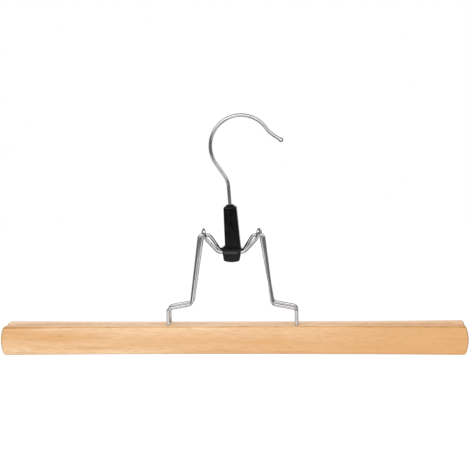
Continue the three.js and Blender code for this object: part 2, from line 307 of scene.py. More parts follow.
@dataclass(frozen=True)
class ChromeFinish:
    """Bright chrome plating on drawn wire: nearly clean, with faint clouding and a fine unevenness."""

    bright: Colour = (0.64, 0.64, 0.65)
    dull: Colour = (0.55, 0.55, 0.57)
    roughness: Span = (0.06, 0.16)
    cloud_scale: float = 210.0
    fine_scale: float = 900.0
    relief: Span = (0.06, 0.0002)

    def material(self) -> bpy.types.Material:
        """Mix the finish.

        Returns:
            The material.
        """
        mix = Recipe("chrome_plating")
        cloud = mix.noise(mix.place, 4.0, scale=self.cloud_scale)
        mix.feed("Base Color", mix.tint(mix.ranged(cloud, (0.35, 0.7)), self.bright, self.dull))
        mix.feed("Roughness", mix.ranged(cloud, (0.3, 0.75), self.roughness))
        mix.set(Metallic=1.0)
        mix.bump(mix.noise(mix.place, 2.0, scale=self.fine_scale), self.relief)
        return mix.material


@dataclass(frozen=True)
class PlasticFinish:
    """Black moulded plastic with a fine spark-eroded texture and flow clouds, and a grey band painted along
    the ridge as its highlight.

    The painted highlight's band on the ridge is given by its spans along X, Y and Z in metres, and by the
    blur of each.
    """

    dark: Colour = (0.001, 0.001, 0.0012)
    grey: Colour = (0.005, 0.005, 0.0054)
    # Grey of the painted highlight: a band along the ridge that stands in for the lamps' reflection on its
    # rounded edge.
    painted_ridge_highlight: Colour = (0.060, 0.060, 0.062)
    roughness: Span = (0.20, 0.32)
    flow_scale: Triple = (420.0, 420.0, 150.0)
    spark_scale: float = 2400.0
    relief: Span = (0.10, 0.0002)
    ridge_x: Span = (-0.01345, -0.00375)
    ridge_y: Span = (-0.0090, -0.0068)
    ridge_z: Span = (-0.1034, -0.1027)
    ridge_blur: Triple = (0.0006, 0.0004, 0.0005)

    def material(self) -> bpy.types.Material:
        """Mix the finish.

        Returns:
            The material.
        """
        mix = Recipe("moulded_black_plastic")
        flow = mix.noise(mix.stretched(self.flow_scale), 4.0)
        base = mix.tint(mix.ranged(flow, (0.35, 0.68)), self.dark, self.grey)
        limits = (self.ridge_x, self.ridge_y, self.ridge_z)
        along, across, up = (
            mix.band(mix.axis(name), span, blur) for name, span, blur in zip("XYZ", limits, self.ridge_blur)
        )
        # Mask of the painted highlight: the band along the ridge where the grey is mixed in.
        ridge = mix.product(mix.product(along, across), up)
        mix.feed("Base Color", mix.tint(ridge, base, self.painted_ridge_highlight))
        mix.feed("Roughness", mix.ranged(flow, (0.3, 0.7), self.roughness))
        mix.set(Specular_IOR_Level=0.2)
        mix.bump(mix.noise(mix.place, 2.0, scale=self.spark_scale), self.relief)
        return mix.material


@dataclass(frozen=True)
class WoodFinish:
    """Planed pale hardwood under a satin lacquer.

    It has fine straight grain, rays, short pores, a brown line of painted shade along its upper edge for
    the gap between the bars, and end grain painted darker, partly its own colour and partly painted shade.
    Each scale gives features per metre along X, Y and Z. The drift runs along X and the painted shade
    line's span along Z, in metres.
    """

    pale: Colour = (0.95, 0.67, 0.42)
    warm: Colour = (0.76, 0.41, 0.172)
    # Colour of the grain streaks and flecks, and also of the painted shade line along the upper edge.
    streak_and_gap_shade: Colour = (0.60, 0.30, 0.105)
    pore_and_gap_shade: Colour = (0.34, 0.16, 0.06)
    # Colour of the darker ends: partly the end grain's own colour, partly painted shade.
    end_grain_and_shade: Colour = (0.36, 0.25, 0.14)
    roughness: Span = (0.36, 0.52)
    drift: Span = (-0.03, 0.18)
    # Z span of the brown line painted along the upper edge: painted shade for the gap between the bars.
    gap_shade_span: Span = (-0.1604, -0.1597)
    gap_shade_blur: float = 0.0004
    slope: float = 0.5
    grain_scale: Triple = (9.0, 330.0, 330.0)
    broad_scale: Triple = (7.0, 60.0, 75.0)
    streak_scale: Triple = (5.0, 420.0, 430.0)
    fleck_scale: Triple = (130.0, 700.0, 800.0)
    dash_scale: Triple = (90.0, 900.0, 1150.0)
    relief: Span = (0.16, 0.0003)

    def material(self, name: str) -> bpy.types.Material:
        """Mix the finish.

        Args:
            name: Name of the board's material.

        Returns:
            The material.
        """
        mix = Recipe(name)
        grain = mix.noise(mix.stretched(self.grain_scale, self.slope), 5.0, 0.6)
        broad = mix.noise(mix.stretched(self.broad_scale, self.slope), 3.0)
        streaks = mix.noise(mix.stretched(self.streak_scale, self.slope), 3.0, 0.55)
        flecks = mix.noise(mix.stretched(self.fleck_scale), 2.0)
        dashes = mix.noise(mix.stretched(self.dash_scale), 2.0)
        base = mix.tint(mix.ranged(broad, (0.32, 0.70)), self.pale, self.warm)
        base = mix.tint(mix.ranged(grain, (0.45, 0.80), (0.0, 0.42)), base, self.warm)
        base = mix.tint(mix.ranged(mix.axis("X"), self.drift), base, self.warm)
        base = mix.tint(mix.ranged(flecks, (0.45, 0.72), (0.0, 0.30)), base, self.streak_and_gap_shade)
        base = mix.tint(mix.ranged(streaks, (0.60, 0.76), (0.0, 0.55)), base, self.streak_and_gap_shade)
        # Brown line painted along the upper edge, with darker dashes in it: painted shade for the gap
        # between the bars.
        edge = mix.band(mix.axis("Z"), self.gap_shade_span, self.gap_shade_blur)
        painted_gap_shade = mix.product(edge, mix.ranged(broad, (0.35, 0.60), (0.45, 0.95)))
        base = mix.tint(painted_gap_shade, base, self.streak_and_gap_shade)
        gap_shade_dashes = mix.product(edge, mix.ranged(dashes, (0.52, 0.64), (0.0, 0.45)))
        base = mix.tint(gap_shade_dashes, base, self.pore_and_gap_shade)
        base = mix.tint(mix.ranged(dashes, (0.68, 0.80), (0.0, 0.50)), base, self.pore_and_gap_shade)
        # The ends are painted darker: partly the end grain's own colour and partly painted shade for the
        # ends turned from the light.
        facing = mix.node("ShaderNodeSeparateXYZ")
        mix.join(mix.node("ShaderNodeTexCoord").outputs["Normal"], facing.inputs["Vector"])
        endwise = mix.node("ShaderNodeMath", operation="ABSOLUTE")
        mix.join(facing.outputs["X"], endwise.inputs[0])
        ends = mix.ranged(endwise.outputs["Value"], (0.35, 0.75), (0.0, 0.8))
        mix.feed("Base Color", mix.tint(ends, base, self.end_grain_and_shade))
        mix.feed("Roughness", mix.ranged(grain, (0.3, 0.8), self.roughness))
        mix.set(Coat_Weight=0.05, Coat_Roughness=0.25, IOR=1.45, Specular_IOR_Level=0.28)
        mix.bump(streaks, self.relief)
        return mix.material


@dataclass(frozen=True)
class FeltFinish:
    """Pressed tan felt: matted fibres with a soft bloom."""

    deep: Colour = (0.47, 0.35, 0.21)
    light: Colour = (0.66, 0.53, 0.36)
    fibre_scale: Triple = (700.0, 1300.0, 1500.0)
    relief: Span = (0.6, 0.0004)

    def material(self) -> bpy.types.Material:
        """Mix the finish.

        Returns:
            The material.
        """
        mix = Recipe("pressed_felt")
        fibres = mix.noise(mix.stretched(self.fibre_scale), 5.0, 0.65)
        mix.feed("Base Color", mix.tint(mix.ranged(fibres, (0.3, 0.7)), self.deep, self.light))
        mix.set(Roughness=0.95, Sheen_Weight=0.3, Sheen_Roughness=0.5)
        mix.bump(fibres, self.relief)
        return mix.material


# Shaping


class Route:
    """Centre line of a bent wire, kept as closely spaced points."""

    # How much closer together the points lie in a bend.
    BEND_FINENESS = 2.2
    # Most of a straight side that the bend at one of its ends may take up.
    SIDE_SHARE = 0.48

    def __init__(self, start: Vector, step: float = 0.9) -> None:
        """Begin a route.

        Args:
            start: First point.
            step: Spacing of the points.
        """
        self.points = [start.copy()]
        self.step = step

    def follow(self, place: Callable[[float], Vector], length: float) -> None:
        """Add a stretch.

        Args:
            place: Point for each share, from 0 to 1, of the stretch.
            length: Its rough length, from which its points are counted.
        """
        count = max(1, round(length / self.step))
        self.points.extend(place(number / count) for number in range(1, count + 1))

    def straight(self, end: Vector) -> None:
        """Run straight to a point."""
        start = self.points[-1]
        self.follow(lambda share: start.lerp(end, share), (end - start).length)

    def bend(self, corner: Vector, end: Vector) -> None:
        """Bend past a corner without reaching it.

        Args:
            corner: Point that both straight sides head for.
            end: Where the bend ends.
        """
        start = self.points[-1]

        def place(share: float) -> Vector:
            """Point of the bend at a share of it."""
            return start.lerp(corner, share).lerp(corner.lerp(end, share), share)

        self.follow(place, self.BEND_FINENESS * (end - start).length)

    def through(self, corners: list[Vector], run: float) -> None:
        """Run through corners, with a bend at each but the last.

        Args:
            corners: Corners after the present point, and then the end.
            run: Wire before and after a corner that its bend takes up.
        """
        before = self.points[-1]
        for corner, after in zip(corners, corners[1:]):
            back = before - corner
            ahead = after - corner
            reach = min(run, self.SIDE_SHARE * back.length, self.SIDE_SHARE * ahead.length)
            self.straight(corner + back.normalized() * reach)
            self.bend(corner, corner + ahead.normalized() * reach)
            before = corner
        self.straight(corners[-1])

    def drawn(self, radius: Callable[[float, float], float], sides: int = 24) -> bmesh.types.BMesh:
        """Draw a closed round wire along the route.

        Args:
            radius: Gives the wire's radius from the distance to the start and to the end.
            sides: Sides of its section.

        Returns:
            The wire.
        """
        spans = [(b - a).length for a, b in zip(self.points, self.points[1:])]
        total = sum(spans)
        gone = 0.0
        heading = (self.points[1] - self.points[0]).normalized()
        turn = Vector((0.0, 0.0, 1.0)).rotation_difference(heading).to_matrix().to_4x4()
        places = []
        for number, point in enumerate(self.points):
            last = self.points[max(number - 1, 0)]
            following = self.points[min(number + 1, len(self.points) - 1)]
            ahead = (following - last).normalized()
            turn = heading.rotation_difference(ahead).to_matrix().to_4x4() @ turn
            heading = ahead
            places.append(Matrix.Translation(point) @ turn @ Matrix.Scale(radius(gone, total - gone), 4))
            gone += spans[number] if number < len(spans) else 0.0
        wire = bmesh.new()
        bmesh.ops.create_circle(wire, cap_ends=True, segments=sides, radius=1.0, matrix=places[0])
        end = next(iter(wire.faces))
        for before, after in zip(places, places[1:]):
            grown = bmesh.ops.extrude_face_region(wire, geom=[end])
            end = next(item for item in grown["geom"] if isinstance(item, bmesh.types.BMFace))
            bmesh.ops.transform(wire, matrix=after @ before.inverted(), verts=end.verts[:])
        bmesh.ops.recalc_face_normals(wire, faces=wire.faces[:])
        return wire


def box(size: Triple, centre: Triple) -> bmesh.types.BMesh:
    """Make a box.

    Args:
        size: Its sides along X, Y and Z.
        centre: Its middle.

    Returns:
        The box.
    """
    shape = bmesh.new()
    place = Matrix.Translation(centre) @ Matrix.Diagonal((*size, 1.0))
    bmesh.ops.create_cube(shape, size=1.0, matrix=place)
    return shape


def rod(radius: float, low: float, high: float, sides: int = 40) -> bmesh.types.BMesh:
    """Make a round rod that stands on Z.

    Args:
        radius: Its radius.
        low: Level of its foot.
        high: Level of its top.
        sides: Sides of its section.

    Returns:
        The rod.
    """
    shape = bmesh.new()
    bmesh.ops.create_cone(
        shape,
        cap_ends=True,
        segments=sides,
        radius1=radius,
        radius2=radius,
        depth=high - low,
        matrix=Matrix.Translation((0.0, 0.0, (low + high) / 2)),
    )
    return shape


def slab(outline: list[Vector], way: Vector) -> bmesh.types.BMesh:
    """Push a flat outline out into a slab that lies evenly on both sides of it.

    Args:
        outline: Corners of the outline.
        way: Full thickness of the slab, as a vector.

    Returns:
        The slab.
    """
    shape = bmesh.new()
    face = shape.faces.new([shape.verts.new(corner - way / 2) for corner in outline])
    grown = bmesh.ops.extrude_face_region(shape, geom=[face])
    moved = [item for item in grown["geom"] if isinstance(item, bmesh.types.BMVert)]
    bmesh.ops.translate(shape, vec=way, verts=moved)
    bmesh.ops.recalc_face_normals(shape, faces=shape.faces[:])
    return shape


def softened(shape: bmesh.types.BMesh, edges: list[bmesh.types.BMEdge], width: float, steps: int) -> None:
    """Round some edges of a shape.

    Args:
        shape: The shape.
        edges: Its edges to round.
        width: Width of the rounding.
        steps: Its steps.
    """
    bmesh.ops.bevel(
        shape, geom=edges, offset=width, segments=steps, profile=0.5, affect="EDGES", material=-1
    )


def linked(shape: bmesh.types.BMesh, name: str) -> bpy.types.Object:
    """Turn a shape into an object of the scene.

    Args:
        shape: The shape, which is used up.
        name: Name of the object and its mesh.

    Returns:
        The object, at the origin.
    """
    mesh = bpy.data.meshes.new(name)
    shape.to_mesh(mesh)
    shape.free()
    made = bpy.data.objects.new(name, mesh)
    bpy.context.scene.collection.objects.link(made)
    return made


def placed(shape: bmesh.types.BMesh, name: str) -> bpy.types.Object:
    """Turn a shape in millimetres from the cross wires into an object in the part's frame.

    Args:
        shape: The shape, which is used up.
        name: Name of the object.

    Returns:
        The object, at the origin, with its place in its mesh.
    """
    shape.transform(Matrix.Translation(WEB_CENTRE) @ Matrix.Scale(MM, 4))
    return linked(shape, name)


def settled(piece: bpy.types.Object) -> None:
    """Write a piece's modifiers into its mesh.

    Args:
        piece: The piece.
    """
    bpy.context.view_layer.update()
    graph = bpy.context.evaluated_depsgraph_get()
    mesh = bpy.data.meshes.new_from_object(piece.evaluated_get(graph))
    piece.modifiers.clear()
    piece.data = mesh


def worked(piece: bpy.types.Object, tool: bpy.types.Object, cut: Cut) -> None:
    """Join another object to a piece, or cut the piece with it.

    Args:
        piece: The piece.
        tool: The other object, which is used up.
        cut: What it does.
    """
    change = piece.modifiers.new("work", "BOOLEAN")
    change.operation = cut.value
    change.solver = "EXACT"
    change.object = tool
    settled(piece)
    bpy.data.objects.remove(tool)


def weighed(shape: bmesh.types.BMesh, weight: Callable[[bmesh.types.BMEdge], float]) -> None:
    """Give each edge of a shape its share of the rounding to come.

    Args:
        shape: The shape.
        weight: Share for each edge, from 0 to 1.
    """
    layer = shape.edges.layers.float.new("bevel_weight_edge")
    for edge in shape.edges:
        edge[layer] = weight(edge)


def rounded(piece: bpy.types.Object, width: float, steps: int, edges: Edges) -> None:
    """Round edges of a piece.

    Args:
        piece: The piece.
        width: Width of the rounding in millimetres, for a full weight where edges are weighed.
        steps: Its steps.
        edges: Which edges it takes.
    """
    rounding = piece.modifiers.new("rounding", "BEVEL")
    rounding.width = width * MM
    rounding.segments = steps
    rounding.limit_method = edges.value
    rounding.angle_limit = math.radians(SHARP_EDGE)
    settled(piece)


@dataclass(frozen=True)
class Role:
    """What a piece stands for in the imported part."""

    node: str
    body: str
    slot: Slot


def finished(piece: bpy.types.Object, material: bpy.types.Material, role: Role, sharp: float) -> None:
    """Give a piece its material and smooth shading, and put it on its body.

    Args:
        piece: The piece.
        material: Its material.
        role: What it stands for.
        sharp: Edges sharper than this, in degrees, keep their crease.
    """
    piece.data.materials.clear()
    piece.data.materials.append(material)
    piece.data.polygons.foreach_set("use_smooth", [True] * len(piece.data.polygons))
    piece.data.set_sharp_from_angle(angle=math.radians(sharp))
    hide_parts(role.node)
    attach(piece, role.body)
    log.info("%s: %d faces", piece.name, len(piece.data.polygons))


# Sub-assemblies


@dataclass
class Jaw:
    """One wooden clamp bar with its felt strip and the wire yoke that carries it."""

    side: Side
    bar_length: float = 360.0
    bar_height: float = 22.3
    bar_thickness: float = 8.0
    bar_bow: float = 3.5
    bar_drop: float = 56.4
    end_crown: float = 2.2
    end_round: float = 1.8
    outer_round: float = 1.7
    inner_round: float = 0.6
    inner_face: float = 1.65
    felt_length: float = 332.0
    felt_height: float = 17.0
    felt_thickness: float = 1.2
    felt_face: float = 0.15
    wire_radius: float = 1.3
    bend_run: float = 2.9
    front_web_half: float = 8.7
    rear_web_half: float = 9.8
    web_offset: float = 4.25
    axle_rise: float = 13.0
    axle_inner: float = 16.7
    axle_outer: float = 24.6
    wrap_centre: float = 21.3
    wrap_pitch: float = 0.8
    wrap_reach: float = 2.95
    wrap_rise: float = 1.0
    knee: Triple = (20.2, -3.3, 11.0)
    leg_half: float = 31.2
    step_drop: float = 40.2
    step_fall: float = 3.4
    foot_half: float = 49.5
    foot_depth: float = 14.0
    hole_clearance: float = 0.3
    hole_over: float = 2.0
    stations: int = 48
    bar_levels: int = 8
    bar_round_steps: int = 6
    felt_levels: int = 2
    felt_round: float = 0.4
    felt_round_steps: int = 3
    # Edges flatter than this, in radians, are only cuts and get no rounding.
    square_edge: float = 0.5
    crease: float = 35.0
    wire_crease: float = 60.0

    @property
    def body(self) -> str:
        """Name of the moving body that the jaw's pieces ride on."""
        return f"{self.side.label}_jaw"

    def bow(self, x: float) -> float:
        """How far the bar stands out from its middle at a place along it."""
        return self.bar_bow * (2.0 * x / self.bar_length) ** 2

    @property
    def foot_offset(self) -> float:
        """Distance of the wire feet from the clamp's middle plane."""
        return self.inner_face + self.bar_thickness / 2 + self.bow(self.foot_half)

    def strip(self, size: Triple, middle: float, levels: int) -> bmesh.types.BMesh:
        """Make a long block with cuts along and up it, ready to be bowed.

        Args:
            size: Its length, thickness and height.
            middle: Distance of its middle from the clamp's middle plane.
            levels: Heights that it is cut into.

        Returns:
            The block, on the front side.
        """
        centre = (0.0, -middle, -self.bar_drop - self.bar_height / 2)
        shape = box(size, centre)
        for axis, count in ((0, self.stations), (2, levels)):
            normal = Vector((0.0, 0.0, 0.0))
            normal[axis] = 1.0
            for number in range(1, count):
                point = normal * (centre[axis] + size[axis] * (number / count - 0.5))
                everything = [*shape.verts, *shape.edges, *shape.faces]
                bmesh.ops.bisect_plane(shape, geom=everything, plane_co=point, plane_no=normal)
        return shape

    def turned(self, shape: bmesh.types.BMesh) -> bmesh.types.BMesh:
        """Turn a front shape half round about the upright axis for the rear jaw.

        Args:
            shape: The shape, which is changed in place.

        Returns:
            The same shape.
        """
        if self.side is Side.REAR:
            shape.transform(Matrix.Rotation(math.pi, 4, "Z"))
        return shape

    def build_bar(self) -> bpy.types.Object:
        """Make the bowed bar with crowned ends, rounded edges and a blind hole for each foot.

        Returns:
            The bar.
        """
        middle = self.inner_face + self.bar_thickness / 2
        size = (self.bar_length, self.bar_thickness, self.bar_height)
        shape = self.strip(size, middle, self.bar_levels)
        half = self.bar_length / 2
        mid_height = -self.bar_drop - self.bar_height / 2

        def weight(edge: bmesh.types.BMEdge) -> float:
            """Give the share of the end rounding that an edge of the square block gets.

            Args:
                edge: The edge.

            Returns:
                The share, from 0 to 1.
            """
            a, b = (vert.co for vert in edge.verts)
            if len(edge.link_faces) != 2 or edge.calc_face_angle(0.0) < self.square_edge:
                return 0.0
            if abs(abs(a.x) - half) < NEAR and abs(abs(b.x) - half) < NEAR:
                return 1.0
            outer = (a.y + b.y) / 2 < -middle
            return (self.outer_round if outer else self.inner_round) / self.end_round

        weighed(shape, weight)
        for vert in shape.verts:
            level = (vert.co.z - mid_height) / (self.bar_height / 2)
            vert.co.y -= self.bow(vert.co.x)
            vert.co.x *= 1.0 - self.end_crown / half * level**2
        bar = placed(self.turned(shape), f"{self.side.label}_clamp_bar")
        rounded(bar, self.end_round, self.bar_round_steps, Edges.WEIGHED)
        radius = self.wire_radius + self.hole_clearance
        floor = -self.bar_drop - self.foot_depth - self.hole_clearance
        for x in (-self.foot_half, self.foot_half):
            hole = rod(radius, floor, -self.bar_drop + self.hole_over)
            hole.transform(Matrix.Translation((x, -self.foot_offset, 0.0)))
            worked(bar, placed(self.turned(hole), "hole"), Cut.TAKE_AWAY)
        return bar

    def build_felt(self) -> bpy.types.Object:
        """Make the felt strip, which follows the bow of the bar that it is glued to.

        Returns:
            The strip.
        """
        middle = self.felt_face + self.felt_thickness / 2
        size = (self.felt_length, self.felt_thickness, self.felt_height)
        shape = self.strip(size, middle, self.felt_levels)
        for vert in shape.verts:
            vert.co.y -= self.bow(vert.co.x)
        felt = placed(self.turned(shape), f"{self.side.label}_felt_strip")
        rounded(felt, self.felt_round, self.felt_round_steps, Edges.SHARP)
        return felt

    def shoulder(self) -> list[Vector]:
        """Lay out the right shoulder: the front yoke's straight axle, or the rear yoke's wrap over it.

        Returns:
            Its corners, from the lever outwards.
        """
        if self.side is Side.FRONT:
            return [Vector((x, 0.0, self.axle_rise)) for x in (self.axle_inner, self.axle_outer)]
        top = self.axle_rise + self.wrap_reach + self.wrap_rise
        pitch = self.wrap_pitch / 2
        return [
            Vector(self.knee),
            Vector((self.wrap_centre - pitch, -self.wrap_reach, top)),
            Vector((self.wrap_centre + pitch, self.wrap_reach, top)),
        ]

    def build_yoke(self) -> bpy.types.Object:
        """Bend the wire from one foot over both shoulders and the cross wire to the other foot.

        Returns:
            The yoke.
        """
        depth = self.side.value
        bar_side = depth * self.foot_offset
        web_half = self.front_web_half if self.side is Side.FRONT else self.rear_web_half
        right = [
            Vector((web_half, -depth * self.web_offset, 0.0)),
            *self.shoulder(),
            Vector((self.leg_half, bar_side, -self.step_drop)),
            Vector((self.foot_half, bar_side, -self.step_drop - self.step_fall)),
            Vector((self.foot_half, bar_side, -self.bar_drop - self.foot_depth)),
        ]
        left = [Vector((-point.x, point.y, point.z)) for point in reversed(right)]
        route = Route(left[0])
        route.through([*left[1:], *right], self.bend_run)
        return placed(route.drawn(lambda *ends: self.wire_radius), f"{self.side.label}_wire_yoke")

    def make(self, wood: bpy.types.Material, felt: bpy.types.Material, chrome: bpy.types.Material) -> None:
        """Build the jaw's pieces and finish them.

        Args:
            wood: Material of the bar.
            felt: Material of the strip.
            chrome: Material of the yoke.
        """
        label = self.side.label
        bar, strip, yoke = self.build_bar(), self.build_felt(), self.build_yoke()
        finished(bar, wood, Role(f"{label}_bar", self.body, Slot.WOOD), self.crease)
        finished(strip, felt, Role(f"{label}_felt", self.body, Slot.FELT), self.crease)
        finished(yoke, chrome, Role(f"{label}_yoke", self.body, Slot.CHROME), self.wire_crease)


@dataclass
class Lever:
    """Black moulded lever: a block with the cam and snap slot, ears and a leaning sleeve."""

    block_x: float = 0.45
    block_width: float = 14.0
    block_foot_width: float = 12.2
    block_rise: float = 4.5
    block_drop: float = 7.4
    bottom_crown: float = 1.1
    block_round: float = 1.0
    ridge_rise: float = 0.4
    nose: float = -8.05
    lip_rake: float = 0.7
    ear_x: float = -0.3
    ear_width: float = 16.2
    ear_depth: float = 3.7
    ear_low: float = 1.1
    ear_high: float = 3.2
    sleeve_x: float = 1.4
    sleeve_lean: float = 3.4
    sleeve_low: float = 2.2
    sleeve_height: float = 35.4
    sleeve_depth: float = 10.0
    sleeve_foot_width: float = 12.2
    sleeve_top_width: float = 10.0
    sleeve_corner: float = 2.3
    sleeve_top_round: float = 2.0
    collar_radius: float = 3.1
    collar_rise: float = 1.1
    bore_radius: float = 1.65
    pocket_half: float = 2.7
    pocket_top: float = 21.3
    pocket_height: float = 6.0
    pivot_offset: float = 4.25
    pivot_radius: float = 1.6
    slot_neck: float = 2.2
    follower_clear: float = 1.75
    axle_rise: float = 13.0
    open_angle: float = 15.5
    swing_angle: float = 85.0
    cam_steps: int = 40
    cam_end_steps: int = 8
    crown_steps: int = 12
    block_round_steps: int = 4
    sleeve_round_steps: int = 7
    collar_root: float = 3.0
    collar_round: float = 0.8
    collar_round_steps: int = 5
    small_round: float = 0.4
    small_round_steps: int = 3
    bore_start: float = 0.5
    cut_reach: float = 40.0
    crease: float = 32.0

    def leaning(self) -> Matrix:
        """Place of the sleeve's own axis in the lever."""
        lean = Matrix.Rotation(-math.radians(self.sleeve_lean), 4, "Y")
        return Matrix.Translation((self.sleeve_x, 0.0, 0.0)) @ lean

    def build_block(self) -> bpy.types.Object:
        """Make the block: its side outline cut to its front outline, with rounded edges.

        Returns:
            The block, which the rest of the lever is then joined to.
        """
        back = self.sleeve_depth / 2
        low = -self.block_drop - self.bottom_crown
        side = [
            (-back, self.block_rise),
            (self.nose, self.ridge_rise),
            (self.nose + self.lip_rake, low),
            (back, low),
            (back, self.block_rise),
        ]
        half, foot = self.block_width / 2, self.block_foot_width / 2
        front = [
            (half, self.ridge_rise),
            (half, self.block_rise),
            (-half, self.block_rise),
            (-half, self.ridge_rise),
        ]
        for number in range(self.crown_steps + 1):
            share = 2.0 * number / self.crown_steps - 1.0
            front.append((foot * share, low + self.bottom_crown * (1.0 + share**2)))
        thick = 2.0 * self.cut_reach
        side_slab = slab([Vector((0.0, y, z)) for y, z in side], Vector((thick, 0.0, 0.0)))
        front_outline = [Vector((self.block_x + x, 0.0, z)) for x, z in front]
        block = placed(side_slab, "cam_lever")
        worked(block, placed(slab(front_outline, Vector((0.0, thick, 0.0))), "front"), Cut.KEEP_COMMON)
        rounded(block, self.block_round, self.block_round_steps, Edges.SHARP)
        return block

    def cam_cut(self) -> bmesh.types.BMesh:
        """Make what is cut away for the cam.

        Returns:
            All that the follower wire sweeps as the lever swings, and the room behind it.
        """
        clear, reach = self.follower_clear, self.cut_reach
        back = self.pivot_offset - clear
        outline = [(reach, reach), (back, reach), (back, 0.0)]
        arm = math.hypot(self.pivot_offset, self.axle_rise)
        shut = 2.0 * math.atan2(self.pivot_offset, self.axle_rise)
        angle = distance = 0.0
        for number in range(1, self.cam_steps + 1):
            share = number / self.cam_steps
            opened = math.radians(self.open_angle) * share
            distance = 2.0 * arm * math.sin((shut - opened) / 2)
            angle = -opened / 2 - math.radians(self.swing_angle) * share
            near = distance - clear
            outline.append((-self.pivot_offset + near * math.cos(angle), near * math.sin(angle)))
        end_y = -self.pivot_offset + distance * math.cos(angle)
        end_z = distance * math.sin(angle)
        for number in range(1, self.cam_end_steps + 1):
            turn = math.pi + angle * (1.0 - number / self.cam_end_steps)
            outline.append((end_y + clear * math.cos(turn), end_z + clear * math.sin(turn)))
        outline += [(end_y - clear, -reach), (reach, -reach)]
        return slab([Vector((0.0, y, z)) for y, z in outline], Vector((2.0 * reach, 0.0, 0.0)))

    def pivot_cut(self) -> list[bmesh.types.BMesh]:
        """Make what is cut away for the snap slot.

        Returns:
            Round seat of the rear yoke's cross wire and the narrow mouth below it.
        """
        reach = self.cut_reach
        seat = rod(self.pivot_radius, -reach, reach)
        lying = Matrix.Rotation(math.pi / 2, 4, "Y")
        seat.transform(Matrix.Translation((0.0, -self.pivot_offset, 0.0)) @ lying)
        mouth = box((2.0 * reach, self.slot_neck, reach), (0.0, -self.pivot_offset, -reach / 2))
        return [seat, mouth]

    def build_sleeve(self) -> bpy.types.Object:
        """Make the tapered sleeve with its rounded corners, collar and bore.

        Returns:
            The sleeve.
        """
        height = self.sleeve_height - self.sleeve_low
        shape = box((1.0, self.sleeve_depth, height), (0.0, 0.0, self.sleeve_low + height / 2))
        for vert in shape.verts:
            low = vert.co.z < self.sleeve_low + NEAR
            vert.co.x *= self.sleeve_foot_width if low else self.sleeve_top_width

        def weight(edge: bmesh.types.BMEdge) -> float:
            """Give full rounding up the corners, less round the top and none at the foot.

            Args:
                edge: The edge.

            Returns:
                The share, from 0 to 1.
            """
            levels = [vert.co.z > self.sleeve_height - NEAR for vert in edge.verts]
            if all(levels):
                return self.sleeve_top_round / self.sleeve_corner
            return 1.0 if any(levels) else 0.0

        weighed(shape, weight)
        shape.transform(self.leaning())
        sleeve = placed(shape, "sleeve")
        rounded(sleeve, self.sleeve_corner, self.sleeve_round_steps, Edges.WEIGHED)
        top = self.sleeve_height
        collar = rod(self.collar_radius, top - self.collar_root, top + self.collar_rise)
        rim = [edge for edge in collar.edges if all(vert.co.z > top for vert in edge.verts)]
        softened(collar, rim, self.collar_round, self.collar_round_steps)
        collar.transform(self.leaning())
        worked(sleeve, placed(collar, "collar"), Cut.JOIN)
        bore = rod(self.bore_radius, self.pocket_top - self.bore_start, top + self.cut_reach)
        bore.transform(self.leaning())
        worked(sleeve, placed(bore, "bore"), Cut.TAKE_AWAY)
        return sleeve

    def small_box(self, size: Triple, centre: Triple) -> bmesh.types.BMesh:
        """Make a box with all its edges a little rounded.

        Args:
            size: Its sides along X, Y and Z.
            centre: Its middle.

        Returns:
            The box.
        """
        shape = box(size, centre)
        softened(shape, shape.edges[:], self.small_round, self.small_round_steps)
        return shape

    def make(self, plastic: bpy.types.Material) -> None:
        """Build the lever and finish it.

        Args:
            plastic: Its material.
        """
        lever = self.build_block()
        ear_size = (self.ear_width, self.ear_depth, self.ear_high - self.ear_low)
        ears = self.small_box(ear_size, (self.ear_x, 0.0, (self.ear_low + self.ear_high) / 2))
        worked(lever, placed(ears, "ears"), Cut.JOIN)
        for tool in (self.cam_cut(), *self.pivot_cut()):
            worked(lever, placed(tool, "tool"), Cut.TAKE_AWAY)
        worked(lever, self.build_sleeve(), Cut.JOIN)
        depth = self.pocket_half + self.cut_reach
        pocket_size = (2.0 * self.pocket_half, depth, self.pocket_height)
        pocket_level = self.pocket_top - self.pocket_height / 2
        pocket = self.small_box(pocket_size, (0.0, depth / 2 - self.pocket_half, pocket_level))
        pocket.transform(self.leaning())
        worked(lever, placed(pocket, "pocket"), Cut.TAKE_AWAY)
        finished(lever, plastic, Role("lever", "lever", Slot.PLASTIC), self.crease)


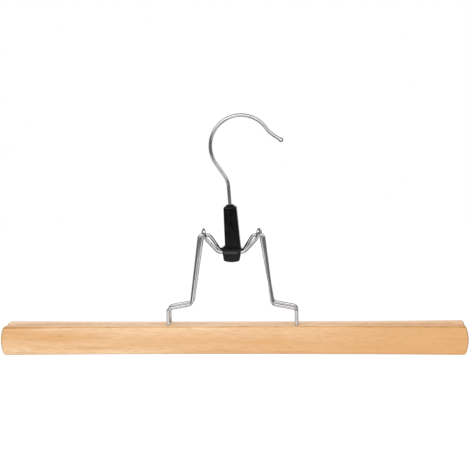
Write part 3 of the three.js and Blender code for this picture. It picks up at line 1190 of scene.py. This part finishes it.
@dataclass
class Hook:
    """Bent wire hook whose headed stem turns in the lever's sleeve."""

    wire_radius: float = 1.35
    crown_radius: float = 23.4
    centre_x: float = 8.4
    centre_z: float = 80.9
    neck_angle: float = 124.4
    neck_run: float = 5.0
    leave_angle: float = 34.0
    tip_angle: float = -31.0
    tip_lead: float = 4.4
    tip_run: float = 9.9
    bead_radius: float = 1.9
    head_radius: float = 2.4
    head_height: float = 2.0
    head_level: float = 19.0
    head_slope: float = 0.4
    stem_x: float = 1.4
    lean: float = 3.4
    head_step: float = 0.35
    wire_step: float = 0.8
    tip_step: float = 0.2
    tip_end: float = 0.1
    crease: float = 60.0

    def on_crown(self, degrees: float) -> Vector:
        """Point of the crown at an angle."""
        return Vector((self.centre_x, 0.0, self.centre_z)) + self.heading(degrees) * self.crown_radius

    @staticmethod
    def heading(degrees: float) -> Vector:
        """Direction in the plane of the bars, by its angle from +X."""
        return Vector((math.cos(math.radians(degrees)), 0.0, math.sin(math.radians(degrees))))

    def route(self) -> Route:
        """Lay out the wire: stem up the sleeve, slanted neck, round crown and a tip that flares out.

        Returns:
            The route.
        """
        up = self.heading(90.0 + self.lean)
        foot = Vector((self.stem_x, 0.0, 0.0))
        neck = self.heading(self.neck_angle)
        neck_end = self.on_crown(self.neck_angle + 90.0)
        gap = neck_end - foot
        stem_run = (gap.x * neck.z - gap.z * neck.x) / (up.x * neck.z - up.z * neck.x)
        route = Route(foot + up * self.head_level, self.head_step)
        route.straight(foot + up * (self.head_level + self.head_height + self.head_slope))
        route.step = self.wire_step
        route.through([foot + up * stem_run, neck_end], self.neck_run)
        first, last = self.neck_angle + 90.0, self.leave_angle
        length = self.crown_radius * math.radians(first - last)
        route.follow(lambda share: self.on_crown(first + (last - first) * share), length)
        turn = self.on_crown(last) + self.heading(last - 90.0) * self.tip_lead
        tip = turn + self.heading(self.tip_angle) * self.tip_run
        route.bend(turn, tip)
        route.step = self.tip_step
        route.straight(tip + self.heading(self.tip_angle) * self.bead_radius)
        return route

    def radius(self, gone: float, left: float) -> float:
        """Radius of the wire, with the stem's head at its start and the bead at its tip.

        Args:
            gone: Distance from the start.
            left: Distance to the end.

        Returns:
            The radius.
        """
        if gone < self.head_height + NEAR:
            return self.head_radius
        from_bead = self.bead_radius - left
        bead = math.sqrt(max(self.bead_radius**2 - from_bead**2, self.tip_end**2))
        if from_bead > 0.0:
            return bead
        return max(self.wire_radius, bead if left < 2.0 * self.bead_radius else 0.0)

    def make(self, chrome: bpy.types.Material) -> None:
        """Bend the hook and finish it.

        Args:
            chrome: Its material.
        """
        hook = placed(self.route().drawn(self.radius), "swivel_hook")
        finished(hook, chrome, Role("hook", "hook", Slot.CHROME), self.crease)


# Studio


@dataclass(frozen=True)
class Lamp:
    """Soft square lamp that points at the hanger's middle: sizes in metres, power in watts."""

    name: str
    place: Triple
    size: float
    power: float

    def hang(self) -> None:
        """Hang the lamp."""
        data = bpy.data.lights.new(self.name, "AREA")
        data.shape = "SQUARE"
        data.size = self.size
        data.energy = self.power
        lamp = bpy.data.objects.new(self.name, data)
        lamp.location = self.place
        lamp.rotation_euler = (WEB_CENTRE - Vector(self.place)).to_track_quat("-Z", "Y").to_euler()
        bpy.context.scene.collection.objects.link(lamp)


@dataclass
class Studio:
    """Pale floor, soft lamps, white surroundings, flags for the chrome to mirror, and the photo's camera.

    Lengths are in metres and angles in degrees.
    """

    key: Lamp = Lamp("key", (-0.4, -1.2, 0.75), 1.8, 12.9)
    fill: Lamp = Lamp("fill", (0.9, -0.8, 0.35), 1.6, 5.3)
    back: Lamp = Lamp("back", (-0.3, 1.1, 1.0), 1.6, 4.4)
    floor_level: float = -0.85
    floor_size: float = 6.0
    floor_glow: float = 0.5
    ambient: float = 0.55
    grey_cloth: float = 0.30
    black_cloth: float = 0.02
    flag_cells: tuple[int, int] = (120, 90)
    flag_reach: float = 0.5
    flag_level: float = -0.1
    flag_front: float = -0.3
    flag_steep: float = 58.0
    flag_band: Span = (-6.0, 22.0)
    patch_rise: Span = (-60.0, -32.0)
    patch_turn: Span = (21.0, 110.0)
    window_half: float = 35.0
    azimuth: float = 3.95
    elevation: float = 8.26
    roll: float = -0.9
    distance: float = 1.0
    focal_pixels: float = 1300.38
    target_pixel: Span = (231.59, 251.5)

    def camera_side(self) -> Vector:
        """Direction from the hanger to the camera."""
        turn, rise = math.radians(self.azimuth), math.radians(self.elevation)
        return Vector((math.sin(turn) * math.cos(rise), -math.cos(turn) * math.cos(rise), math.sin(rise)))

    def build_camera(self) -> None:
        """Stand the camera where the photograph was taken from."""
        turn, roll = math.radians(self.azimuth), math.radians(self.roll)
        back = self.camera_side()
        right = Vector((math.cos(turn), math.sin(turn), 0.0))
        up = back.cross(right)
        rolled_right = right * math.cos(roll) + up * math.sin(roll)
        rolled_up = up * math.cos(roll) - right * math.sin(roll)
        data = bpy.data.cameras.new("photo_camera")
        data.sensor_width = SENSOR_WIDTH
        data.lens = self.focal_pixels / PHOTO_PIXELS * data.sensor_width
        data.shift_x = 0.5 - self.target_pixel[0] / PHOTO_PIXELS
        data.shift_y = self.target_pixel[1] / PHOTO_PIXELS - 0.5
        camera = bpy.data.objects.new("photo_camera", data)
        aim = Matrix((rolled_right, rolled_up, back)).transposed().to_4x4()
        camera.matrix_world = Matrix.Translation(WEB_CENTRE + back * self.distance) @ aim
        bpy.context.scene.collection.objects.link(camera)
        bpy.context.scene.camera = camera

    @staticmethod
    def seen_rays(tree: bpy.types.NodeTree) -> bpy.types.NodeSocket:
        """Tell rays that show the surroundings from those that only light the object.

        Args:
            tree: Node tree that the nodes go into.

        Returns:
            1 for camera, glossy and transmission rays and 0 for the rest.
        """
        path = tree.nodes.new("ShaderNodeLightPath")
        seen = path.outputs["Is Camera Ray"]
        for name in ("Is Glossy Ray", "Is Transmission Ray"):
            either = tree.nodes.new("ShaderNodeMath")
            either.operation = "MAXIMUM"
            tree.links.new(seen, either.inputs[0])
            tree.links.new(path.outputs[name], either.inputs[1])
            seen = either.outputs["Value"]
        return seen

    def build_world(self) -> None:
        """Surroundings that light the object plainly and show as white."""
        world = bpy.data.worlds.new("white_surroundings")
        world.use_nodes = True
        bpy.context.scene.world = world
        tree = world.node_tree
        background = tree.nodes["Background"]
        background.inputs["Color"].default_value = (1.0, 1.0, 1.0, 1.0)
        strength = tree.nodes.new("ShaderNodeMapRange")
        strength.inputs["To Min"].default_value = self.ambient
        strength.inputs["To Max"].default_value = 1.0
        tree.links.new(self.seen_rays(tree), strength.inputs["Value"])
        tree.links.new(strength.outputs["Result"], background.inputs["Strength"])

    def build_floor(self) -> None:
        """Lay the pale floor well below the hanging bars."""
        shape = bmesh.new()
        place = Matrix.Translation((0.0, 0.0, self.floor_level))
        bmesh.ops.create_grid(shape, x_segments=1, y_segments=1, size=self.floor_size, matrix=place)
        floor = linked(shape, "pale_floor")
        mix = Recipe("pale_floor")
        mix.set(Base_Color=(0.9, 0.9, 0.9, 1.0), Roughness=0.9, Emission_Color=(1.0, 1.0, 1.0, 1.0))
        seen = self.seen_rays(mix.tree)
        mix.feed("Emission Strength", mix.ranged(seen, (0.0, 1.0), (0.0, self.floor_glow)))
        floor.data.materials.append(mix.material)
        floor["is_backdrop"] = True

    def is_dark(self, way: Vector) -> bool:
        """Whether a flag stands in a direction from the hanger.

        Args:
            way: The direction.

        Returns:
            True behind and beside the hanger, high overhead, deep below, in a level band and in the two
            low side patches. False in the window behind the hanger, which the camera looks out through.
        """
        if way.dot(-self.camera_side()) > math.cos(math.radians(self.window_half)):
            return False
        rise = math.degrees(math.asin(way.z))
        if way.y > self.flag_front or abs(rise) > self.flag_steep:
            return True
        return self.flag_band[0] < rise < self.flag_band[1] or self.in_patch(way)

    def in_patch(self, way: Vector) -> bool:
        """Whether a direction from the hanger lies in one of the two low side patches.

        Args:
            way: The direction.

        Returns:
            True in a patch.
        """
        rise = math.degrees(math.asin(way.z))
        turn = abs(math.degrees(math.atan2(way.x, -way.y)) - self.azimuth)
        level = self.patch_rise[0] < rise < self.patch_rise[1]
        return level and self.patch_turn[0] < turn < self.patch_turn[1]

    def build_flags(self) -> None:
        """Stand grey flags and black side patches round the set for the chrome to mirror.

        The camera doesn't see them, and they throw no shadow.
        """
        shape = bmesh.new()
        centre = Vector((WEB_CENTRE.x, 0.0, self.flag_level))
        across, up = self.flag_cells
        place = Matrix.Translation(centre)
        bmesh.ops.create_uvsphere(
            shape, u_segments=across, v_segments=up, radius=self.flag_reach, matrix=place
        )
        clear = []
        for face in shape.faces:
            way = (face.calc_center_median() - centre).normalized()
            face.material_index = int(self.in_patch(way))
            if not self.is_dark(way):
                clear.append(face)
        bmesh.ops.delete(shape, geom=clear, context="FACES")
        flags = linked(shape, "dark_flags")
        for name, shade in (("grey_flag_cloth", self.grey_cloth), ("black_flag_cloth", self.black_cloth)):
            mix = Recipe(name)
            mix.set(Base_Color=(shade, shade, shade, 1.0), Roughness=1.0, Specular_IOR_Level=0.0)
            flags.data.materials.append(mix.material)
        flags.visible_camera = False
        flags.visible_diffuse = False
        flags.visible_shadow = False
        flags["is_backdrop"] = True

    def make(self) -> None:
        """Set up the whole studio."""
        bpy.context.scene.view_settings.view_transform = "Standard"
        self.build_camera()
        self.build_world()
        self.build_floor()
        self.build_flags()
        for lamp in (self.key, self.fill, self.back):
            lamp.hang()


def write_sizes(cad_box: Sequence[Sequence[float]]) -> None:
    """Gather the solids' box and the dressed model's box as plain numbers; nothing is written out.

    Args:
        cad_box: The box straight after loading.
    """
    boxes = {"cad": cad_box, "visual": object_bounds()}
    plain = {
        name: [[float(value) for value in corner] for corner in corners] for name, corners in boxes.items()
    }


def main() -> None:
    """Build the hanger piece by piece, and then the studio round it."""
    logging.basicConfig(level=logging.INFO, format="%(message)s")
    cad_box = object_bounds()
    # The rear board is the same wood painted paler: painted light for the light that falls on its top face.
    # Its painted shade line would lie above it, so it shows none.
    lit_rear_board = WoodFinish(pale=(0.96, 0.75, 0.57), warm=(0.86, 0.57, 0.35), gap_shade_span=(-0.150, -0.140))
    boards = {Side.FRONT: WoodFinish(), Side.REAR: lit_rear_board}
    felt = FeltFinish().material()
    chrome = ChromeFinish().material()
    for side, board in boards.items():
        Jaw(side).make(board.material(f"{side.label}_board"), felt, chrome)
    Lever().make(PlasticFinish().material())
    Hook().make(chrome)
    Studio().make()
    write_sizes(cad_box)


if __name__ == "__main__":
    main()
